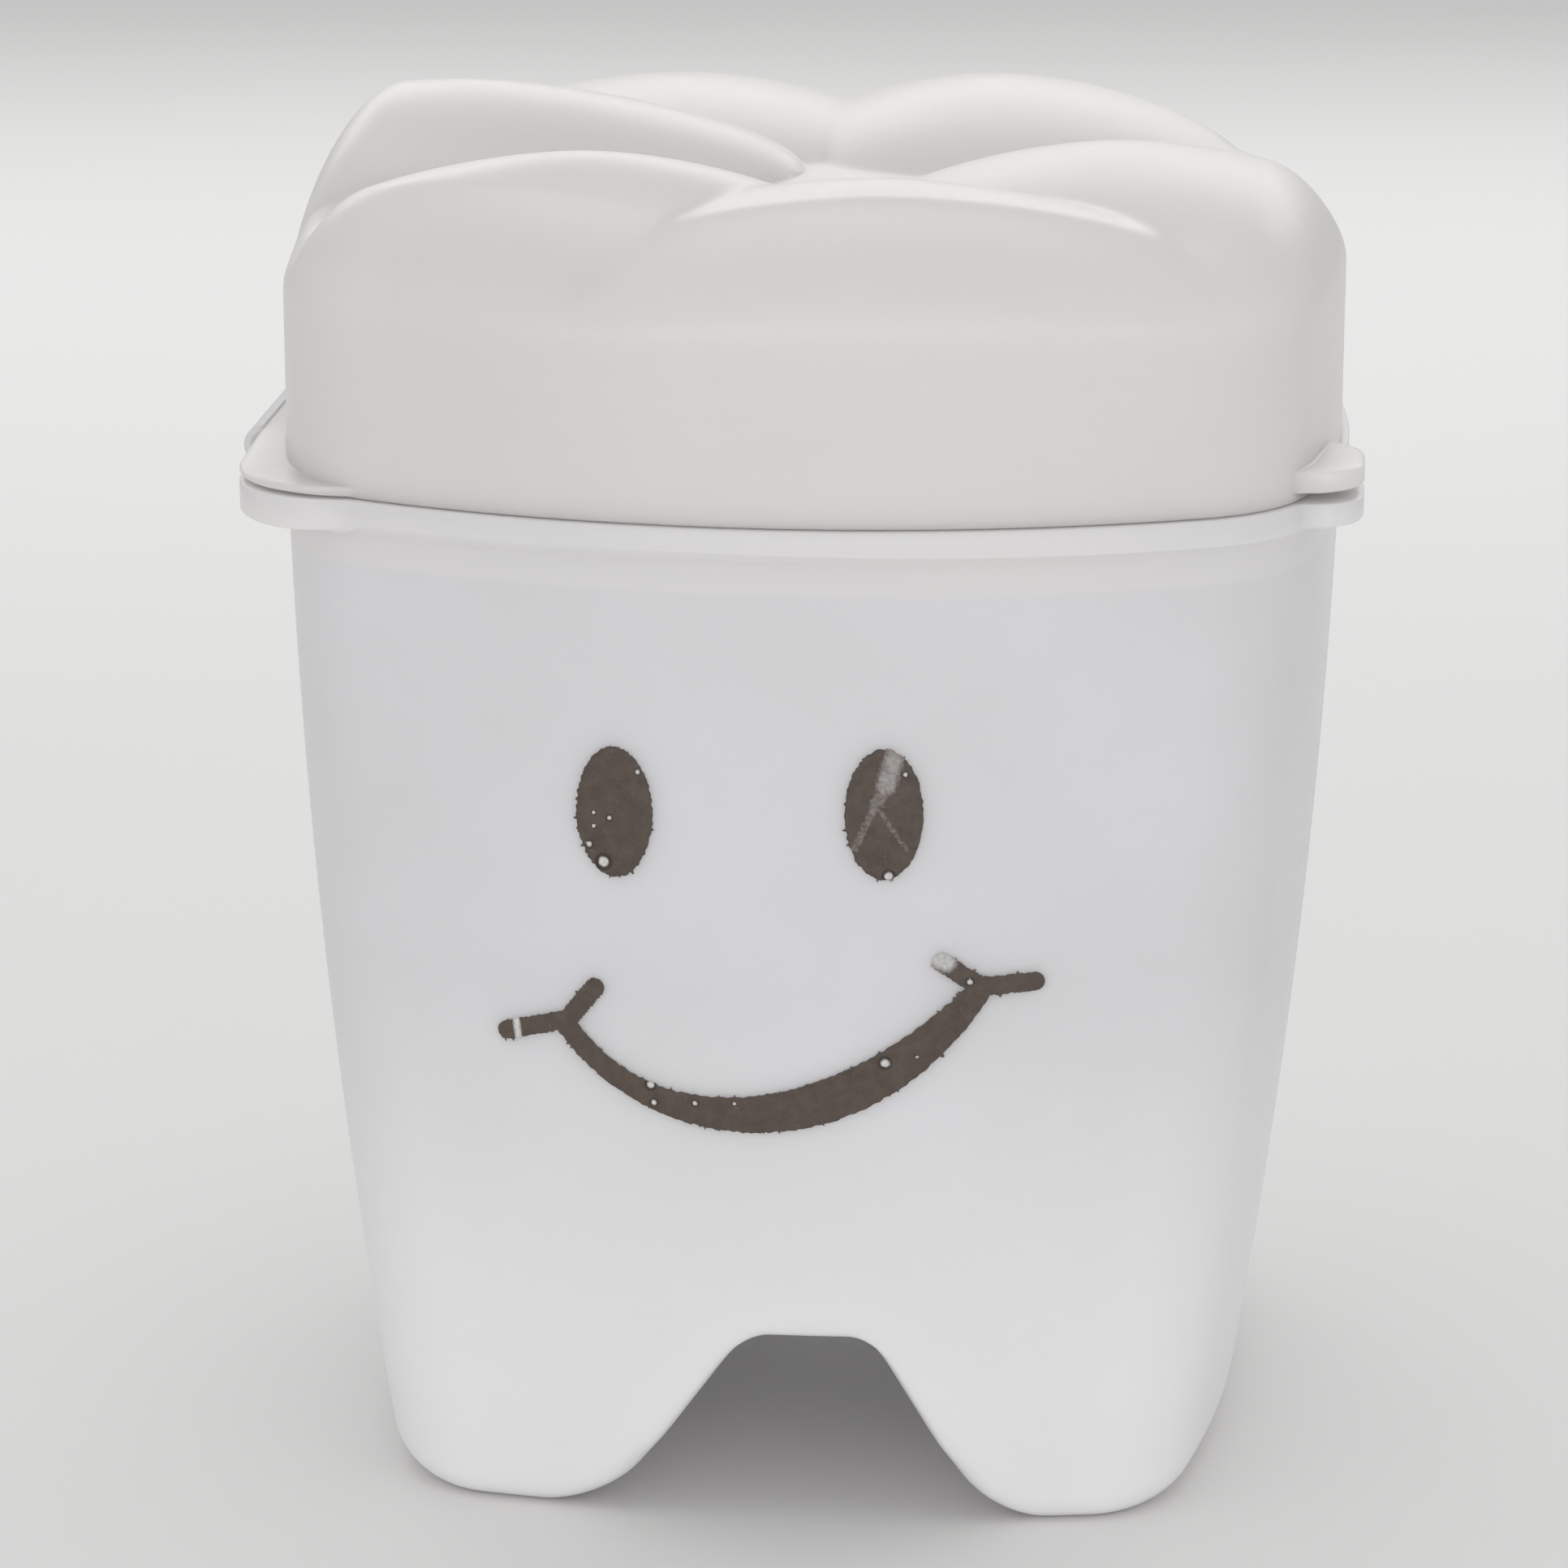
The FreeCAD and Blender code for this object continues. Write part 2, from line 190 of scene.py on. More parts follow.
# Wear of the print: pinholes as x, z and radius; rubs as start, end, half width and strength
PINHOLES = (
    (-4.3, 25.28, 0.07),
    (-5.7, 23.88, 0.06),
    (-5.2, 23.74, 0.07),
    (-5.7, 23.44, 0.06),
    (-5.85, 22.84, 0.09),
    (-5.4, 22.3, 0.17),
    (3.95, 25.43, 0.07),
    (3.45, 22.15, 0.14),
    (-4.0, 15.02, 0.12),
    (-3.9, 14.43, 0.09),
    (-2.6, 14.48, 0.08),
    (-1.35, 14.53, 0.06),
    (3.35, 16.01, 0.14),
    (4.35, 16.21, 0.05),
    (5.95, 18.68, 0.09),
)
RUBS = (
    ((3.65, 26.12), (3.35, 25.03), 0.45, 0.46),
    ((3.35, 25.03), (3.05, 24.43), 0.32, 0.28),
    ((3.05, 24.43), (2.4, 23.04), 0.18, 0.22),
    ((3.2, 24.23), (4.0, 22.99), 0.12, 0.2),
    ((-8.35, 17.19), (-8.2, 16.01), 0.16, 1.0),
    ((5.2, 19.36), (4.9, 19.57), 0.5, 0.8),
)


# Plan outline and the shapes made from it


def quarter_arcs(outline):
    """Arcs of a quarter of the plan: front and side centres, corner centre and its end directions.

    An outline is its half width, half depth, front radius and corner radius. The corner's centre is
    where two circles meet, about the front and the side arc's centres, with those arcs' radii less
    the corner's. Directions are angles from -Y towards +X.
    """
    half_width, half_depth, front_radius, corner_radius = outline
    front_y = front_radius - half_depth
    side_x = half_width - SIDE_RADIUS
    gap = np.hypot(side_x, front_y)
    reach_front = front_radius - corner_radius
    reach_side = SIDE_RADIUS - corner_radius
    along = (reach_front**2 - reach_side**2 + gap**2) / (2 * gap)
    across = np.sqrt(reach_front**2 - along**2)
    corner_x = (side_x * along + front_y * across) / gap
    corner_y = front_y + (side_x * across - front_y * along) / gap
    turn_front = np.arctan2(corner_x, front_y - corner_y)
    turn_side = np.arctan2(corner_x - side_x, -corner_y)
    return front_y, side_x, corner_x, corner_y, turn_front, turn_side


def plan(turns, outline, inset=0.0):
    """Points of a plan outline, drawn in by inset; turns runs 0 to 4 from the front's middle.

    In each quarter the first share is the front arc, the next the corner and the last the side: a
    point is its arc's centre plus the radius, less the inset, along the outward direction.
    """
    front_y, side_x, corner_x, corner_y, turn_front, turn_side = quarter_arcs(outline)
    front_radius, corner_radius = outline[2:]
    quarter = np.floor(turns)
    share = turns - quarter
    share = np.where(quarter % 2 == 0, share, 1 - share)
    on_front = share < FRONT_SHARE
    on_side = share > CORNER_SHARE
    corner_part = (share - FRONT_SHARE) / (CORNER_SHARE - FRONT_SHARE)
    side_part = (share - CORNER_SHARE) / (1 - CORNER_SHARE)
    heading = turn_front + (turn_side - turn_front) * corner_part
    heading = np.where(on_front, turn_front * share / FRONT_SHARE, heading)
    heading = np.where(on_side, turn_side + (math.pi / 2 - turn_side) * side_part, heading)
    radius = np.where(on_front, front_radius, np.where(on_side, SIDE_RADIUS, corner_radius)) - inset
    centre_x = np.where(on_front, 0.0, np.where(on_side, side_x, corner_x))
    centre_y = np.where(on_front, front_y, np.where(on_side, 0.0, corner_y))
    x = (centre_x + radius * np.sin(heading)) * np.where(quarter < 2, 1, -1)
    y = (centre_y - radius * np.cos(heading)) * np.where((quarter == 0) | (quarter == 3), 1, -1)
    return x, y


def depth_in_plan(x, y, outline):
    """How far a place lies in from a plan outline; negative outside it."""
    x, y = np.abs(x), -np.abs(y)
    front_y, side_x, corner_x, corner_y, turn_front, turn_side = quarter_arcs(outline)
    from_front = outline[2] - np.hypot(x, y - front_y)
    from_side = SIDE_RADIUS - np.hypot(x - side_x, y)
    from_corner = outline[3] - np.hypot(x - corner_x, y - corner_y)
    heading = np.arctan2(x - corner_x, corner_y - y)
    in_corner = (heading > turn_front) & (heading < turn_side)
    return np.where(in_corner, from_corner, np.minimum(from_front, from_side))


def taper(z):
    """Share of the full taper at a height: 0 at the parting plane, 1 at the feet."""
    drop = (PARTING - z) / PARTING
    return STRAIGHT_SHARE * drop + (1 - STRAIGHT_SHARE) * drop * np.abs(drop)


def cup_outline(z):
    """Outline of the cup at a height: it grows smaller, flatter in front and squarer to the feet."""
    share = taper(z)
    half_width = HALF_WIDTH - SIDE_TAPER * share
    half_depth = HALF_DEPTH - FRONT_TAPER * share
    front_radius = 1 / ((1 - share) / FRONT_RADIUS + share / FOOT_FRONT_CURVE)
    corner_radius = CORNER_RADIUS + (FOOT_CORNER - CORNER_RADIUS) * share
    return half_width, half_depth, front_radius, corner_radius


def front_wall(x, z):
    """Place of the cup's front wall along Y."""
    half_depth, front_radius = cup_outline(z)[1:3]
    return front_radius - half_depth - np.sqrt(front_radius**2 - x**2)


def round_max(a, b, radius):
    """Larger of two distances, with the edge between them rounded to a radius."""
    near = (a > -radius) & (b > -radius)
    arc = np.hypot(np.maximum(a + radius, 0), np.maximum(b + radius, 0)) - radius
    return np.where(near, arc, np.maximum(a, b))


def smooth_step(value, low, high):
    """0 below low, 1 above high and an even S curve between."""
    share = np.clip((value - low) / (high - low), 0, 1)
    return share * share * (3 - 2 * share)


def meet_surface(field, source, targets):
    """Where rays from a source through target places leave a solid, found by halving the stretch.

    The field is negative inside the solid. A ray is searched from a fifth of the way to its target
    up to twice the way. The result has the shape of targets.
    """
    low = np.full(targets.shape[:-1], 0.2)
    high = np.full(targets.shape[:-1], 2.0)
    ray = targets - source
    for _ in range(36):
        middle = (low + high) / 2
        place = source + ray * middle[..., None]
        inside = field(place[..., 0], place[..., 1], place[..., 2]) < 0
        low = np.where(inside, middle, low)
        high = np.where(inside, high, middle)
    return source + ray * low[..., None]


def rows_of(x, y, z):
    """Grid of points from broadcast coordinates."""
    return np.stack(np.broadcast_arrays(x, y, z), axis=-1)


def lug_step(x, y, side, middle, half_length, corner, reach):
    """How far the wall steps out along X at a lug: to a flat end, rounded at its two corners."""
    from_middle = np.abs(y - middle)
    past = np.clip(from_middle - (half_length - corner), 0, corner)
    edge = HALF_WIDTH + reach - corner + np.sqrt(corner**2 - past**2)
    on = (from_middle <= half_length) & (x * side > 0)
    return side * np.where(on, np.maximum(edge - np.abs(x), 0), 0)


def to_the_right(x):
    """0 on the side of the flange, 1 on the side of the tab and an even S curve between."""
    return smooth_step(x, -CHANGE_OVER, CHANGE_OVER)


def lug_steps(x, y):
    """Steps of the wall at the flange on the left and at the tab on the right."""
    flange = lug_step(x, y, -1, 0.0, FLANGE_HALF, FLANGE_CORNER, FLANGE_REACH)
    return flange + lug_step(x, y, 1, TAB_MIDDLE, TAB_HALF, TAB_CORNER, TAB_REACH)


# Meshes


def add_mesh(name, points, faces):
    """New smooth mesh object at the origin from points in millimetres."""
    mesh = bpy.data.meshes.new(name)
    mesh.from_pydata((points * MM).tolist(), [], faces)
    mesh.polygons.foreach_set("use_smooth", np.ones(len(mesh.polygons), dtype=bool))
    mesh.update()
    piece = bpy.data.objects.new(name, mesh)
    bpy.context.scene.collection.objects.link(piece)
    return piece


def closed_skin(name, grid):
    """Closed skin from rings of points: neighbouring rings joined by quads, each end by a fan.

    The first and last rings close on their own mean point. Rings run anticlockwise as seen from
    the side that the first fan faces.
    """
    rings, columns = grid.shape[:2]
    points = np.concatenate([grid.reshape(-1, 3), grid[0].mean(0)[None], grid[-1].mean(0)[None]])
    index = np.arange(rings * columns).reshape(rings, columns)
    after = np.roll(index, -1, axis=1)
    quads = np.stack([index[:-1], index[1:], after[1:], after[:-1]], axis=-1).reshape(-1, 4)
    first = np.stack([np.full(columns, rings * columns), index[0], after[0]], axis=-1)
    last = np.stack([index[-1], np.full(columns, rings * columns + 1), after[-1]], axis=-1)
    return add_mesh(name, points, quads.tolist() + first.tolist() + last.tolist())


# Cup


def arch_line(x, grow):
    """Height of the arch at x, or of the arch grown by a wall; it runs on down past the feet."""
    slopes = []
    for side, high, foot in zip((-1, 1), ARCH_TOP, ARCH_FOOT):
        lean = side * (foot - high) / ARCH_HEIGHT
        reach = side * foot + grow * math.sqrt(1 + lean**2)
        slopes.append((reach - side * x) / lean)
    slope = np.minimum(*slopes)
    top = ARCH_HEIGHT + grow
    soft = ARCH_TOP_SOFTNESS + grow
    blend = np.clip(0.5 + 0.5 * (slope - top) / soft, 0, 1)
    return slope + (top - slope) * blend - soft * blend * (1 - blend)


def below_arch(x, z, grow):
    """Distance below the arch, or below the arch grown by a wall."""
    steepness = 2 * ARCH_HEIGHT / (ARCH_TOP[0] - ARCH_FOOT[0] + ARCH_FOOT[1] - ARCH_TOP[1])
    flat = 1 / math.sqrt(1 + steepness**2)
    line = arch_line(x, grow)
    steep = smooth_step(ARCH_HEIGHT + grow - line, 0, ARCH_TOP_SOFTNESS)
    return (line - z) * (1 + (flat - 1) * steep)


def cup_outside(x, y, z):
    """Field of the cup's outside: inside the tapered walls and above the bottom, with round edges.

    The soles run into the arch in a wide curve. The edge of the wall is rounded widest at the sides
    of the feet, less so at their front and back, and least along the arch.
    """
    wall = -depth_in_plan(x, y, cup_outline(z))
    bottom = round_max(-z, below_arch(x, z, 0.0), ARCH_FOOT_RADIUS)
    beside = smooth_step(np.abs(x), *FOOT_SIDE)
    foot = FOOT_FRONT_RADIUS + (FOOT_RADIUS - FOOT_FRONT_RADIUS) * beside
    edge = foot + (ARCH_EDGE_RADIUS - foot) * smooth_step(z, FOOT_RADIUS, 2 * FOOT_RADIUS)
    return round_max(wall, bottom, edge)


def cup_inside(x, y, z):
    """Field of the cup's hollow: the outside drawn in by the wall."""
    wall = WALL - depth_in_plan(x, y, cup_outline(z))
    inner_radius = FOOT_RADIUS - WALL
    return round_max(round_max(wall, WALL - z, inner_radius), below_arch(x, z, WALL), inner_radius)


def cup_guide(top, inset, floor, grow, wall_shares, floor_shares):
    """Places for the rays of a cup skin: down the wall to its lower edge, then in along the bottom."""
    x, y = plan(TURNS, cup_outline(np.zeros(1)), inset)
    edge = np.maximum(arch_line(x, grow), floor)
    z = top + (edge - top) * wall_shares[:, None]
    wall_x, wall_y = plan(TURNS[None], cup_outline(z), inset)
    floor_x = x * floor_shares[:, None]
    floor_y = y * floor_shares[:, None]
    floor_z = np.maximum(arch_line(floor_x, grow), floor)
    return np.concatenate([rows_of(wall_x, wall_y, z), rows_of(floor_x, floor_y, floor_z)])


def rim_rows():
    """Rim of the cup from the mouth over the top, down the band and its lugs, to the wall.

    Each row is the outline at the parting plane, drawn in by an inset, at a height, and stepped out
    by a share of the lug. The last rows let the band fade into the wall along an even S curve.
    """
    x, y = plan(TURNS, OUTLINE)
    step = lug_steps(x, y)
    lug_low = PARTING - FLANGE_THICKNESS - (LEDGE_THICKNESS - FLANGE_THICKNESS) * to_the_right(x)
    lug_low = lug_low - FLANGE_DEEPER * smooth_step(-x, *DEEPER_RUN)
    band_low = PARTING - RIM_BAND
    rows = [
        (WALL + 0.02, RIM_TOP - 0.5, 0),
        (WALL, RIM_TOP - 0.16, 0),
        (WALL - 0.03, RIM_TOP - 0.06, 0),
        (WALL - 0.12, RIM_TOP, 0),
        (0.3, RIM_TOP - 0.002, 0),
        (-RIM_PROUD + 0.2, RIM_TOP - 0.004, 0.05),
        (-RIM_PROUD + 0.06, RIM_TOP - 0.006, 0.8),
        (-RIM_PROUD + 0.02, RIM_TOP - 0.02, 0.96),
        (-RIM_PROUD, RIM_TOP - 0.06, 1),
    ]
    rows += [(-RIM_PROUD, lug_low + rise, share) for rise, share in CUP_LUG_EDGE]
    for share in np.linspace(0.1, 1, 6):
        level = np.minimum(band_low + RIM_FADE * (0.5 - share), lug_low - 0.02 - 0.15 * share)
        rows.append((RIM_PROUD * (smooth_step(share, 0, 1) - 1), level, 0))
    grid = []
    for inset, z, share in rows:
        row_x, row_y = plan(TURNS, OUTLINE, inset)
        reach = np.maximum(np.abs(x + step) - np.abs(row_x), 0)
        out = np.where(np.abs(step) > 0, share * np.sign(step) * reach, 0)
        grid.append(rows_of(row_x + out, row_y, z))
    return np.stack(grid)


def two_paces(start, turn, end, before, after):
    """Shares from start to end, in even steps up to a turn and in other even steps after it."""
    return np.concatenate([np.linspace(start, turn, before), np.linspace(turn, end, after)[1:]])


def make_cup():
    """The cup as one closed skin: hollow from its floor up, over the rim, and down the outside.

    The rays of each skin start above the arch. Rows lie closer near the lower edge of the wall.
    """
    wall = two_paces(0, 0.8, 1, 16, 16)
    floor = two_paces(1, 0.78, 0.04, 12, 20)[1:]
    guide = cup_guide(RIM_TOP - 1.2, WALL, WALL, WALL, wall, floor)
    hollow = meet_surface(cup_inside, np.array([ARCH_CENTRE, 0, 18.0]), guide)[::-1]
    wall = two_paces(0, 0.84, 1, 26, 28)
    floor = two_paces(1, 0.78, 0.03, 24, 32)[1:]
    guide = cup_guide(PARTING - RIM_BAND - RIM_FADE, 0.0, 0.0, 0.0, wall, floor)
    outside = meet_surface(cup_outside, np.array([ARCH_CENTRE, 0, 14.0]), guide)
    return closed_skin("cup", np.concatenate([hollow, rim_rows(), outside]))


# Lid


def crown_height(x, y):
    """Height of the crown: the highest of six ridged cusps and a floor, round at the wall.

    The floor falls off with the sixth power towards the wall. A cusp falls from its crest as a full
    curve of the distance in half lengths and half breadths, then straight on. Near the wall the
    creases soften, and all heights above the shoulder's foot shrink as a quarter oval.
    """
    heights = [CROWN_FLOOR - FLOOR_FALL * ((x / HALF_WIDTH) ** 6 + (y / HALF_DEPTH) ** 6)]
    for crest_x, crest_y, crest, behind, ahead, right, left, heading in CUSPS:
        run_x = math.cos(math.radians(heading))
        run_y = math.sin(math.radians(heading))
        along = (x - crest_x) * run_x + (y - crest_y) * run_y
        across = (y - crest_y) * run_x - (x - crest_x) * run_y
        along = along / np.where(along < 0, behind, ahead)
        out = np.hypot(along, across / np.where(across < 0, right, left))
        rise = np.maximum(1 - out**CUSP_FULLNESS, 0) ** (1 / CUSP_FULLNESS)
        heights.append(crest - CUSP_DEPTH * (1 - rise + CUSP_FLANK * np.maximum(out - 1, 0)))
    near = np.clip(1 - depth_in_plan(x, y, OUTLINE) / SHOULDER_REACH, 0, 1)
    softness = CREASE_SOFTNESS + WALL_SOFTNESS * near**2
    top = softness * np.logaddexp.reduce(np.stack(heights) / softness, axis=0)
    return SHOULDER_LOW + (top - SHOULDER_LOW) * np.sqrt(1 - near**2)


def crown_rows(low, inset, inner_rows, edge_rows, wall_rows):
    """Rings of the crown, lowered and drawn in by inset: from its middle out, then down the wall.

    The inner rings are the plan scaled about its middle. The outer ones step in from the wall as a
    quarter circle does, so that they lie evenly on the shoulder.
    """
    x, y = plan(TURNS, OUTLINE, SHOULDER_REACH)
    shares = np.linspace(0.01, 1, inner_rows)[:, None]
    inner_x, inner_y = x * shares, y * shares
    turn = np.linspace(math.pi / 2, math.acos(1 - inset / SHOULDER_REACH), edge_rows)[1:, None]
    edge_x, edge_y = plan(TURNS[None], OUTLINE, SHOULDER_REACH * (1 - np.cos(turn)))
    top_x, top_y = np.concatenate([inner_x, edge_x]), np.concatenate([inner_y, edge_y])
    top = rows_of(top_x, top_y, crown_height(top_x, top_y) - inset)
    fall = np.linspace(1, 0, wall_rows)[1:, None]
    wall = rows_of(top[-1, :, 0], top[-1, :, 1], low + (top[-1, :, 2] - low) * fall)
    return np.concatenate([top, wall])


def skirt_rows():
    """Lid from the wall down over the flange and the tab, under the skirt, round the plug ring.

    Each row is the outline, drawn in by an inset, at a height, and stepped out by a share of the lug.
    """
    x, y = plan(TURNS, OUTLINE)
    step = lug_steps(x, y)
    right = to_the_right(x)
    low = LID_SEAT + LUG_GAP + (TAB_LOW - LID_SEAT - LUG_GAP) * right
    high = PARTING + FLANGE_THICKNESS + (TAB_HIGH - PARTING - FLANGE_THICKNESS) * right
    high = high - FLANGE_THINNING * smooth_step(np.abs(y), *THINNING_RUN) * (1 - right)
    edge = np.minimum(LID_EDGE, 0.6 * (low - LID_SEAT))
    plug_inside = PLUG_INSET + PLUG_WALL
    rows = [(0, high + 0.24, 0), (0, high + 0.08, 0), (0, high + 0.02, 0.01)]
    rows += [(0, high - fall, share) for fall, share in LID_LUG_EDGE]
    rows += [(0, low + rise, share) for rise, share in reversed(LID_LUG_EDGE)]
    rows += [
        (0, low - 0.015, 0),
        (0, LID_SEAT + edge, 0),
        (0.012, LID_SEAT + 0.35 * edge, 0),
        (0.05, LID_SEAT, 0),
        (0.7, LID_SEAT, 0),
        (PLUG_INSET - 0.08, LID_SEAT, 0),
        (PLUG_INSET, LID_SEAT - 0.08, 0),
        (PLUG_INSET, PLUG_LOW + 1.0, 0),
    ]
    rows += [(PLUG_INSET + inset, PLUG_LOW + rise, 0) for inset, rise in PLUG_EDGE]
    rows += [(plug_inside - inset, PLUG_LOW + rise, 0) for inset, rise in reversed(PLUG_EDGE)]
    rows += [
        (plug_inside, PLUG_ROOT - 0.5, 0),
        (plug_inside, PLUG_ROOT - 0.12, 0),
        (plug_inside - 0.1, PLUG_ROOT, 0),
        (WALL + 0.15, PLUG_ROOT, 0),
        (WALL, PLUG_ROOT + 0.12, 0),
    ]
    grid = []
    for inset, z, share in rows:
        row_x, row_y = plan(TURNS, OUTLINE, inset)
        grid.append(rows_of(row_x + share * step, row_y, z))
    return np.stack(grid)


def make_lid():
    """The lid as one closed skin: from the crown's middle down the wall, and back up the hollow."""
    low = TAB_HIGH + 0.5
    outside = crown_rows(low, 0.0, inner_rows=112, edge_rows=24, wall_rows=6)
    hollow = crown_rows(low, WALL, inner_rows=14, edge_rows=5, wall_rows=3)[::-1]
    return closed_skin("lid", np.concatenate([outside, skirt_rows(), hollow]))


# Hinge film and print


def make_film():
    """Film hinge: a half cylinder round the flange ends, later given its thickness."""
    outer = -FILM_LOW[0] - HALF_WIDTH - FLANGE_REACH
    radius = outer - FILM_THICKNESS / 2
    angle = np.linspace(-90, 90, 26)[:, None] * math.pi / 180
    y = np.linspace(FILM_LOW[1], FILM_HIGH[1], 41)[None]
    x = -HALF_WIDTH - FLANGE_REACH - radius * np.cos(angle)
    grid = rows_of(x, y, PARTING + radius * np.sin(angle))
    index = np.arange(grid[..., 0].size).reshape(grid.shape[:2])
    corners = (index[:-1, :-1], index[:-1, 1:], index[1:, 1:], index[1:, :-1])
    faces = np.stack(corners, axis=-1).reshape(-1, 4)
    film = add_mesh("film_hinge", grid.reshape(-1, 3), faces.tolist())
    wall = film.modifiers.new("thickness", "SOLIDIFY")
    wall.thickness = FILM_THICKNESS * MM
    wall.offset = 0
    return film


def ragged(count, seed, size):
    """Closed run of small uneven steps: a sum of waves with seeded phases, and a few sharp tufts."""
    draw = np.random.default_rng(seed)
    angle = np.arange(count) / count * 2 * math.pi
    waves = draw.integers(3, 60, EDGE_WAVES)[:, None]
    phase = draw.uniform(0, 2 * math.pi, EDGE_WAVES)[:, None]
    wave = np.sin(waves * angle + phase).sum(0) / math.sqrt(EDGE_WAVES)
    tuft = np.where(draw.uniform(0, 1, count) > 1 - TUFT_SHARE, draw.uniform(0, TUFT_HEIGHT, count), 0)
    return size * (wave + tuft)


def on_wall(x, z, height):
    """Places on the front wall, raised by a height."""
    return rows_of(x, front_wall(x, z) - height, z)


def print_wear(x, z):
    """Share of bare plastic and of dark ring over the print, by distance to each pinhole and rub.

    A pinhole is bare inside its radius with a dark ring round it; a rub is palest along its middle.
    """
    bare = np.zeros(x.shape)
    ring = np.zeros(x.shape)
    for spot_x, spot_z, radius in PINHOLES:
        away = np.hypot(x - spot_x, z - spot_z) / radius
        bare = np.maximum(bare, 1 - smooth_step(away, 0.7, 1.1))
        ring = np.maximum(ring, 1 - smooth_step(np.abs(away - 1.35), 0.1, 0.5))
    for start, end, half_width, strength in RUBS:
        run = np.subtract(end, start)
        share = np.clip(((x - start[0]) * run[0] + (z - start[1]) * run[1]) / run.dot(run), 0, 1)
        away = np.hypot(x - start[0] - share * run[0], z - start[1] - share * run[1]) / half_width
        bare = np.maximum(bare, strength * (1 - smooth_step(away, 0.3, 1.0)))
    return bare, ring


def mark_wear(piece):
    """Write the wear of the print to a piece's points, as the attributes bare and ring."""
    points = np.empty(3 * len(piece.data.vertices), dtype=np.float32)
    piece.data.vertices.foreach_get("co", points)
    wear = print_wear(points[0::3] / MM, points[2::3] / MM)
    for name, values in zip(("bare", "ring"), wear):
        layer = piece.data.attributes.new(name, "FLOAT", "POINT")
        layer.data.foreach_set("value", values.astype(np.float32))
    return piece


def make_eye(name, place, seed):
    """Ink oval: rings from its middle out to a ragged edge, down into the wall and back in."""
    angle = np.arange(EYE_COLUMNS) / EYE_COLUMNS * 2 * math.pi
    edge = ragged(EYE_COLUMNS, seed, INK_RAGGED)
    share = np.concatenate([np.linspace(0.03, 0.94, EYE_ROWS), [0.97, 1.0, 1.0, 0.6, 0.05]])[:, None]
    height = np.concatenate([np.ones(EYE_ROWS), [0.9, 0.55]])[:, None] * INK_HEIGHT
    height = np.concatenate([height, np.full((3, 1), INK_ROOT)])
    x = place[0] + share * (EYE_HALF[0] + edge) * np.cos(angle)
    z = place[1] + share * (EYE_HALF[1] + edge) * np.sin(angle)
    return mark_wear(closed_skin(name + "_print", on_wall(x, z, height)))


def curve_by(points, share):
    """Points at shares of the smooth curve from the first to the last of four places, as x and z.

    The curve leaves towards the second place and comes in from the third, as a cubic of the share.
    """
    first, second, third, last = np.array(points)
    share = share[:, None]
    rest = 1 - share
    return rest**3 * first + 3 * rest**2 * share * second + 3 * rest * share**2 * third + share**3 * last


def ink_stroke(left, right, seed, lift):
    """Rings of a flat stroke between two edges: each ring goes over the top and back in the wall."""
    count = len(left)
    turn = np.arange(STROKE_COLUMNS) / STROKE_COLUMNS * 2 * math.pi
    across = 0.5 - 0.5 * np.cos(turn)
    height = np.where(np.sin(turn) > 0.05, INK_HEIGHT + lift, INK_ROOT)
    height = np.where(np.abs(np.sin(turn)) <= 0.05, INK_HEIGHT * 0.3, height)
    width = np.linalg.norm(right - left, axis=-1)[:, None]
    sideways = (right - left) / np.maximum(width, 1e-6)
    left = left - sideways * ragged(count, seed, INK_RAGGED)[:, None]
    right = right + sideways * ragged(count, seed + 1, INK_RAGGED)[:, None]
    place = left[:, None] + (right - left)[:, None] * across[None, :, None]
    return on_wall(place[..., 0], place[..., 1], height[None])


def round_ends(share, length, width):
    """Half width of a stroke along its length, closing to a half circle at each end."""
    from_end = np.minimum(share, 1 - share) * length
    inside = np.clip(1 - from_end / width, 0, 1)
    return width * np.sqrt(np.maximum(1 - inside**2, 0.01))


def make_smile():
    """Smile: a crescent between two curves and four short ticks, all ragged strokes of ink."""
    share = np.linspace(0, 1, 420)
    upper = curve_by(SMILE_UPPER, share)
    lower = curve_by(SMILE_LOWER, share)
    strokes = [closed_skin("smile_print", ink_stroke(upper, lower, 11, 0))]
    for number, (start, end) in enumerate(SMILE_TICKS):
        start, end = np.array(start), np.array(end)
        length = np.linalg.norm(end - start) + 2 * TICK_HALF_WIDTH
        ahead = (end - start) / np.linalg.norm(end - start)
        share = 0.5 - 0.5 * np.cos(np.linspace(0, math.pi, 60))
        line = start - ahead * TICK_HALF_WIDTH + ahead * length * share[:, None]
        half = round_ends(share, length, TICK_HALF_WIDTH)[:, None]
        aside = np.array([-ahead[1], ahead[0]])
        seed = 21 + 2 * number
        lift = TICK_LIFT * (number + 1)
        rings = ink_stroke(line + aside * half, line - aside * half, seed, lift)
        strokes.append(closed_skin("tick", rings))
    with bpy.context.temp_override(active_object=strokes[0], selected_editable_objects=strokes):
        bpy.ops.object.join()
    return mark_wear(strokes[0])


# Finishes


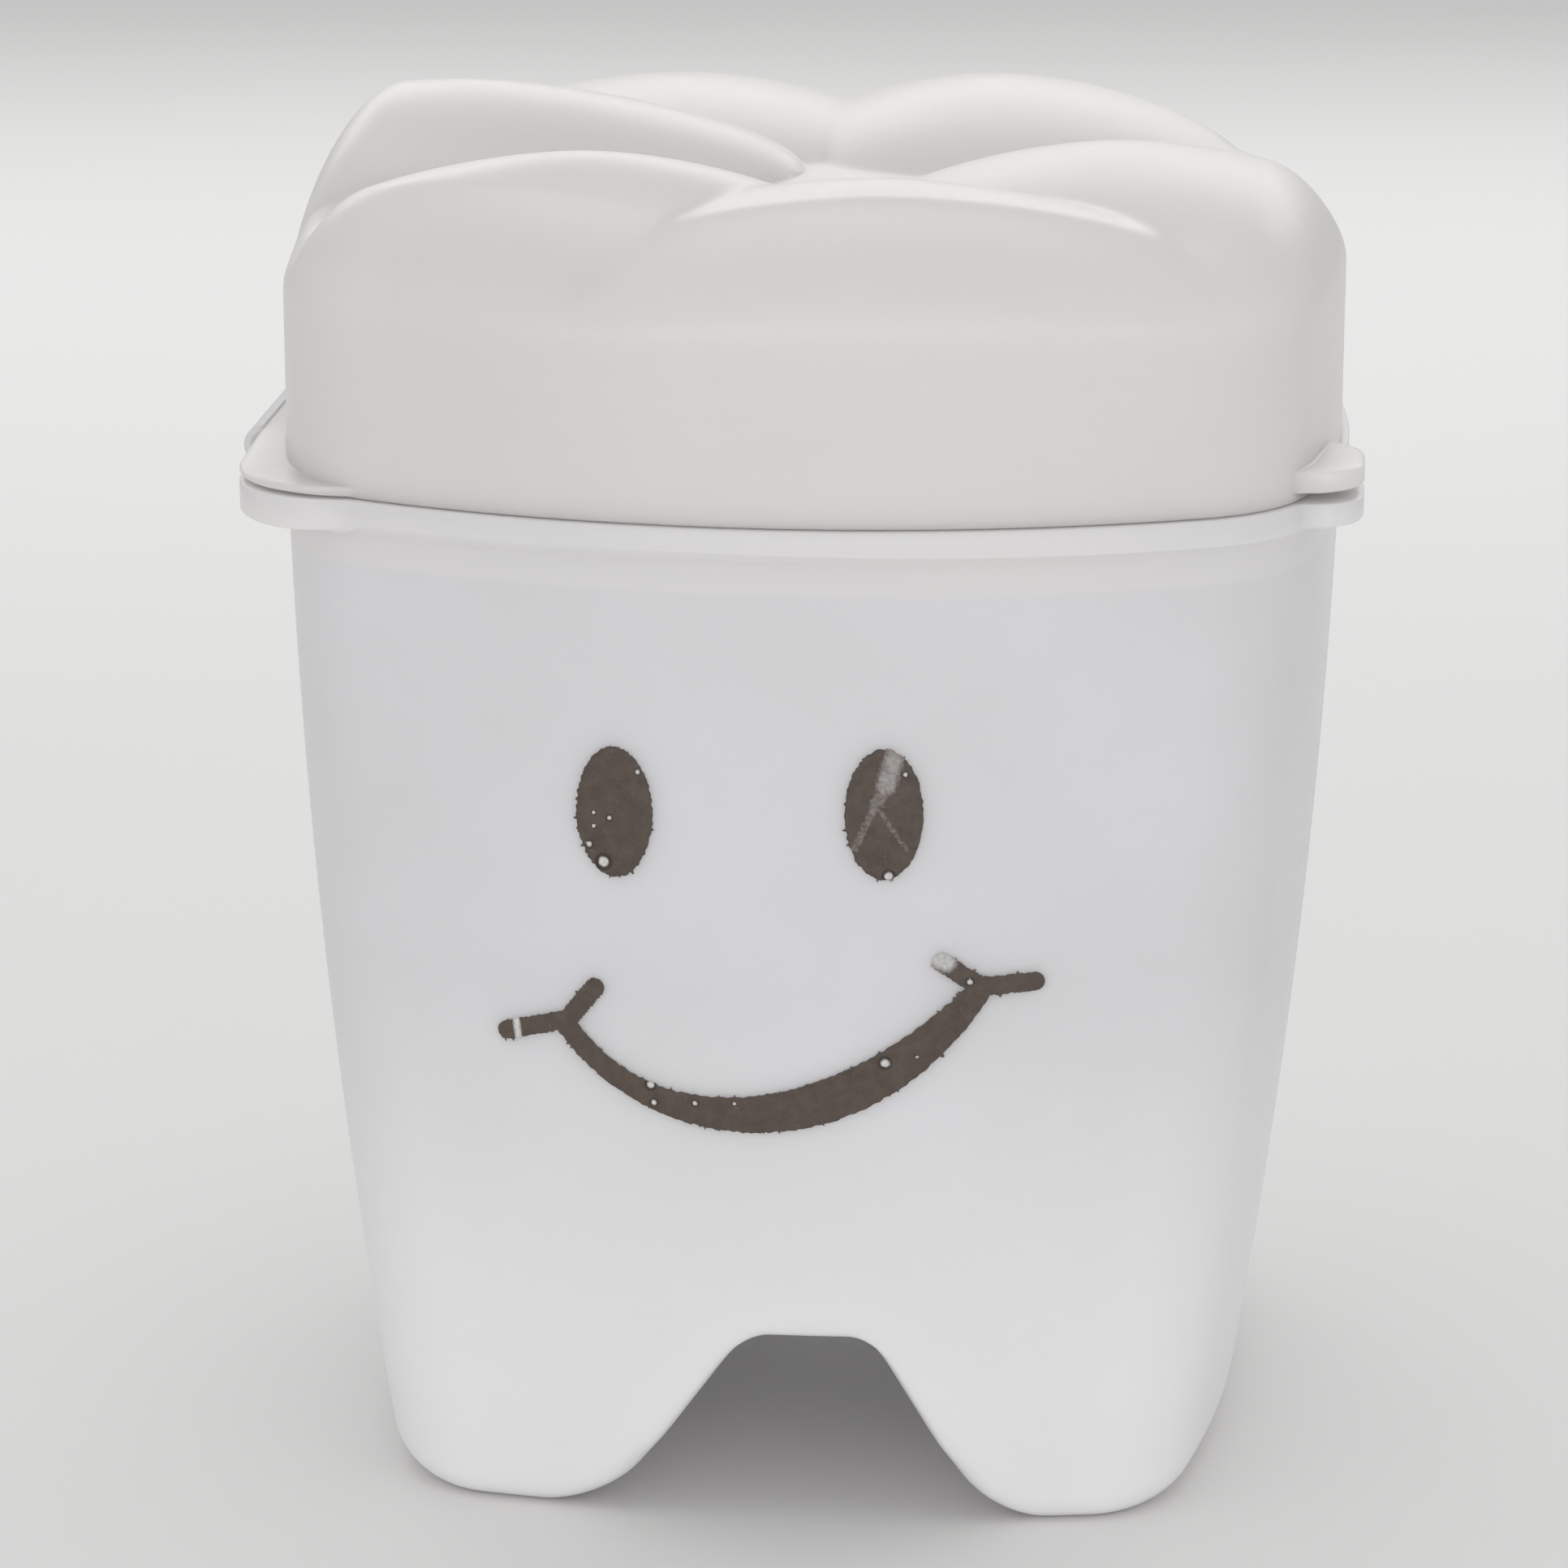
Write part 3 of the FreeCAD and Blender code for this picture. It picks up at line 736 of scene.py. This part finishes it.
class Finish:
    """A material and short ways to add nodes to it."""

    def __init__(self, name):
        self.material = bpy.data.materials.new(name)
        self.material.use_nodes = True
        self.nodes = self.material.node_tree.nodes
        self.links = self.material.node_tree.links
        self.shader = self.nodes["Principled BSDF"]

    def add(self, kind, settings=None, **inputs):
        """New node with its settings and inputs; an input may be a value or another node's output."""
        node = self.nodes.new(kind)
        for key, value in (settings or {}).items():
            setattr(node, key, value)
        for key, value in inputs.items():
            self.join(node.inputs[key.replace("_", " ")], value)
        return node

    def join(self, socket, value):
        """Link an output to a socket, or set the socket to a plain value."""
        if isinstance(value, bpy.types.NodeSocket):
            self.links.new(value, socket)
        else:
            socket.default_value = value

    def place(self):
        """Object coordinates in millimetres."""
        source = self.add("ShaderNodeTexCoord").outputs["Object"]
        return self.add("ShaderNodeMapping", Vector=source, Scale=(1 / MM, 1 / MM, 1 / MM)).outputs[0]

    def noise(self, place, scale, detail=2.0, roughness=0.5):
        """Noise value over a place."""
        inputs = {"Vector": place, "Scale": scale, "Detail": detail, "Roughness": roughness}
        return self.add("ShaderNodeTexNoise", **inputs).outputs["Fac"]

    def ramp(self, value, low, high, start, end):
        """Value mapped from one range to another, held at its ends."""
        node = self.add("ShaderNodeMapRange", Value=value)
        for key, number in zip(("From Min", "From Max", "To Min", "To Max"), (low, high, start, end)):
            node.inputs[key].default_value = number
        return node.outputs[0]

    def mix(self, share, first, second):
        """Colour mixed from two by a share."""
        node = self.add("ShaderNodeMix", {"data_type": "RGBA"}, Factor=share)
        self.join(node.inputs[6], first)
        self.join(node.inputs[7], second)
        return node.outputs[2]


def srgb(red, green, blue):
    """Linear colour from 0 to 255 screen values."""
    channels = np.array([red, green, blue]) / 255
    linear = np.where(channels <= 0.04045, channels / 12.92, ((channels + 0.055) / 1.055) ** 2.4)
    return (*linear.tolist(), 1.0)


def milky_plastic(name, dull, clear, ring_glow_tint):
    """Natural polypropylene: milky, a little translucent and satin, cloudy between two tints.

    It is painted paler towards the feet, as painted light for the light that the floor throws up
    there, and has a paler tint of its own above the lower edge of the plug ring: partly its own hue,
    partly a painted glow for the light that the ring sends back through the wall.
    """
    finish = Finish(name)
    place = finish.place()
    cloud = finish.noise(place, 0.09, 3.0, 0.55)
    tint = finish.mix(finish.ramp(cloud, 0.35, 0.65, 0, 1), dull, clear)
    height = finish.add("ShaderNodeSeparateXYZ", Vector=place).outputs[2]
    # Painted light: paler towards the feet, standing in for the light that the floor throws up there
    tint = finish.mix(finish.ramp(height, 4.0, 18.0, 1, 0), tint, srgb(250, 247, 248))
    # Painted glow, partly a hue of its own: a paler tint above the plug ring's lower edge, for the light
    # that the ring behind the wall sends back
    ring = finish.ramp(height, PLUG_LOW - 0.1, PLUG_LOW + 0.1, 0, 1)
    tint = finish.mix(ring, tint, finish.mix(cloud, dull, ring_glow_tint))
    cells = finish.add("ShaderNodeTexVoronoi", Vector=place, Scale=0.16)
    dot = finish.ramp(cells.outputs["Distance"], 0.011, 0.017, 1, 0)
    chance = finish.add("ShaderNodeSeparateColor", Color=cells.outputs["Color"]).outputs[0]
    rare = finish.ramp(chance, 0.80, 0.81, 0, 1)
    speck = finish.add("ShaderNodeMath", {"operation": "MULTIPLY"})
    finish.join(speck.inputs[0], dot)
    finish.join(speck.inputs[1], rare)
    colour = finish.mix(speck.outputs[0], tint, srgb(150, 138, 128))
    finish.join(finish.shader.inputs["Base Color"], colour)
    grain = finish.noise(place, 3.2, 4.0, 0.6)
    finish.join(finish.shader.inputs["Roughness"], finish.ramp(grain, 0.3, 0.7, 0.3, 0.4))
    wave = finish.noise(place, 0.22, 1.0)
    relief = finish.add("ShaderNodeMath", {"operation": "MULTIPLY_ADD"})
    finish.join(relief.inputs[0], grain)
    relief.inputs[1].default_value = 0.05
    finish.join(relief.inputs[2], wave)
    bump = finish.add("ShaderNodeBump", Strength=0.12, Distance=0.25 * MM, Height=relief.outputs[0])
    finish.join(finish.shader.inputs["Normal"], bump.outputs[0])
    finish.shader.inputs["IOR"].default_value = 1.49
    finish.shader.inputs["Subsurface Weight"].default_value = 0.7
    finish.shader.inputs["Subsurface Radius"].default_value = (1.0, 0.97, 0.94)
    finish.shader.inputs["Subsurface Scale"].default_value = 1.6 * MM
    return finish.material


def brown_ink():
    """Dark brown pad print: uneven cover, pinholes and pale rubbed streaks."""
    finish = Finish("brown_ink")
    place = finish.place()
    cover = finish.ramp(finish.noise(place, 2.4, 4.0, 0.65), 0.3, 0.7, 0, 1)
    ink = finish.mix(cover, srgb(74, 62, 54), srgb(92, 79, 70))
    fine = finish.noise(place, 7.0, 2.0, 0.7)
    ring = finish.add("ShaderNodeAttribute", {"attribute_name": "ring"}).outputs["Fac"]
    ink = finish.mix(ring, ink, srgb(48, 38, 32))
    bare = finish.add("ShaderNodeAttribute", {"attribute_name": "bare"}).outputs["Fac"]
    rubbed = finish.add("ShaderNodeMath", {"operation": "MULTIPLY_ADD"})
    finish.join(rubbed.inputs[0], fine)
    rubbed.inputs[1].default_value = 0.7
    finish.join(rubbed.inputs[2], bare)
    pale = finish.ramp(rubbed.outputs[0], 0.45, 1.4, 0, 1)
    colour = finish.mix(pale, ink, srgb(222, 220, 218))
    finish.join(finish.shader.inputs["Base Color"], colour)
    finish.join(finish.shader.inputs["Roughness"], finish.ramp(fine, 0.3, 0.7, 0.42, 0.62))
    bump = finish.add("ShaderNodeBump", Strength=0.3, Distance=0.03 * MM, Height=fine)
    finish.join(finish.shader.inputs["Normal"], bump.outputs[0])
    return finish.material


def pale_floor():
    """Plain pale floor with a faint mottle."""
    finish = Finish("pale_floor")
    cloud = finish.noise(finish.place(), 0.02)
    colour = finish.mix(cloud, srgb(236, 236, 235), srgb(240, 240, 239))
    finish.join(finish.shader.inputs["Base Color"], colour)
    finish.shader.inputs["Roughness"].default_value = 0.8
    return finish.material


# Stage: floor, light and camera

CAMERA_DISTANCE = 180.0
CAMERA_HEIGHT = 72.87
CAMERA_SHIFT = -1.22
CAMERA_YAW = math.radians(5.46)
CAMERA_PITCH = math.radians(16.18)
FOCAL_SHARE = 6907.2 / 1932


def make_floor():
    """Level square floor under the box."""
    half = 2500.0
    corners = np.array([[-half, -half, 0], [half, -half, 0], [half, half, 0], [-half, half, 0]])
    floor = add_mesh("floor", corners, [[0, 1, 2, 3]])
    floor.data.materials.append(pale_floor())


def add_lamp(name, place, aim, size, power):
    """Oblong area lamp at a place, facing an aim, in millimetres as its size is; power in watts."""
    lamp = bpy.data.lights.new(name, "AREA")
    lamp.shape = "RECTANGLE"
    lamp.size, lamp.size_y = (side * MM for side in size)
    lamp.energy = power
    holder = bpy.data.objects.new(name, lamp)
    bpy.context.scene.collection.objects.link(holder)
    ray = (np.array(aim) - np.array(place)) * MM
    holder.location = np.array(place) * MM
    holder.rotation_euler = turn_along(ray)


def turn_along(ray):
    """Turn that points an object's -Z along a ray, with its Y up."""
    flat = math.hypot(ray[0], ray[1])
    return (math.atan2(flat, -ray[2]), 0, math.atan2(-ray[0], ray[1]))


def make_light():
    """Even pale surroundings, a soft lamp overhead, a low one behind and a low wide front fill."""
    world = bpy.data.worlds.new("studio")
    bpy.context.scene.world = world
    world.use_nodes = True
    world.node_tree.nodes["Background"].inputs[0].default_value = (1, 1, 1, 1)
    world.node_tree.nodes["Background"].inputs[1].default_value = 0.555
    add_lamp("top", (0, 0, 500), (0, 0, 40), (400, 400), 0.45)
    add_lamp("rim", (-20, 260, 150), (0, 0, 42), (400, 100), 0.2)
    add_lamp("low_fill", (40, -420, 40), (0, 0, 10), (600, 80), 0.47)


def make_camera():
    """Camera at the photographed angle, a little to the right of the face and looking down."""
    data = bpy.data.cameras.new("camera")
    data.sensor_width = 36.0
    data.lens = 36.0 * FOCAL_SHARE
    data.clip_start = 1 * MM
    camera = bpy.data.objects.new("camera", data)
    bpy.context.scene.collection.objects.link(camera)
    ahead, aside = math.cos(CAMERA_YAW), math.sin(CAMERA_YAW)
    x = CAMERA_SHIFT * ahead + CAMERA_DISTANCE * aside
    y = CAMERA_SHIFT * aside - CAMERA_DISTANCE * ahead
    camera.location = (x * MM, y * MM, CAMERA_HEIGHT * MM)
    camera.rotation_euler = (math.pi / 2 - CAMERA_PITCH, 0, CAMERA_YAW)
    bpy.context.scene.camera = camera


def dress(piece, material, body, node):
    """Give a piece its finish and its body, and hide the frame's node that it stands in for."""
    piece.data.materials.clear()
    piece.data.materials.append(material)
    if body:
        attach(piece, body)
    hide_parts(node)


def main():
    """Make and dress every piece, then the floor, the light and the camera."""
    # The third tint of each is the painted glow over the plug ring, partly a hue of its own
    cup_tints = (srgb(226, 225, 227), srgb(231, 230, 233), srgb(239, 235, 233))
    lid_tints = (srgb(226, 222, 220), srgb(232, 228, 226), srgb(234, 230, 228))
    cup_plastic = milky_plastic("cup_plastic", *cup_tints)
    lid_plastic = milky_plastic("lid_plastic", *lid_tints)
    ink = brown_ink()
    dress(make_cup(), cup_plastic, "body", "body_shell")
    dress(make_lid(), lid_plastic, "lid", "lid_shell")
    film = make_film()
    dress(film, cup_plastic, None, "hinge_film")
    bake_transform(film)
    for number, (node, place) in enumerate(EYES.items()):
        dress(make_eye(node, place, number + 1), ink, "body", node)
    dress(make_smile(), ink, "body", "smile")
    make_floor()
    make_light()
    make_camera()
    bpy.context.scene.view_settings.view_transform = "Standard"


main()
